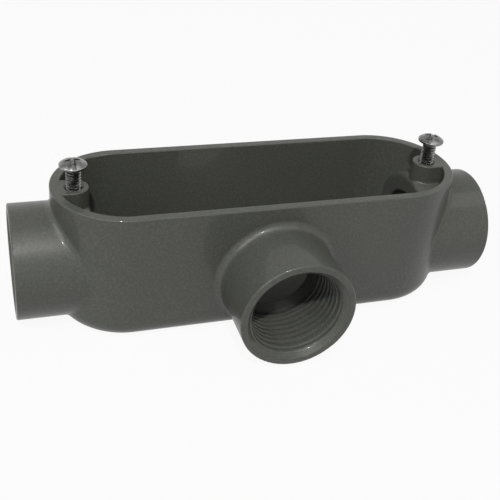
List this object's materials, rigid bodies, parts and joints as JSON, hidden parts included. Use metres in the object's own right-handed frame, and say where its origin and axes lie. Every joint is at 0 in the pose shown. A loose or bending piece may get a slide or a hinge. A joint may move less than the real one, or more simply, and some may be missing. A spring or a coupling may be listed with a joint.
{
  "type": "conduit body",
  "caption": "Open-topped, racetrack-shaped metal box with threaded hubs at both ends and one on a long side, and cover screws standing in its end bosses.",
  "frame": {"origin": "centre of the flat bottom, on the plane the body stands on", "axes": "+X along the two end hubs, -Y out of the branch hub, +Z out of the open top"},
  "size_m": [0.1362, 0.0568, 0.0465],
  "materials": {
    "coated_casting": "matte",
    "zinc_screw": "satin"
  },
  "bodies": {
    "body": {"body": "coated_casting"},
    "left_screw": {"left_cover_screw": "zinc_screw"},
    "right_screw": {"right_cover_screw": "zinc_screw"}
  },
  "joints": [
    {"name": "left_screw_travel", "type": "slide", "parent": "body", "child": "left_screw", "axis": [0, 0, 1], "range_m": [-0.0034, 0.0027]},
    {"name": "right_screw_travel", "type": "slide", "parent": "body", "child": "right_screw", "axis": [0, 0, 1], "range_m": [-0.004, 0.0021]}
  ]
}
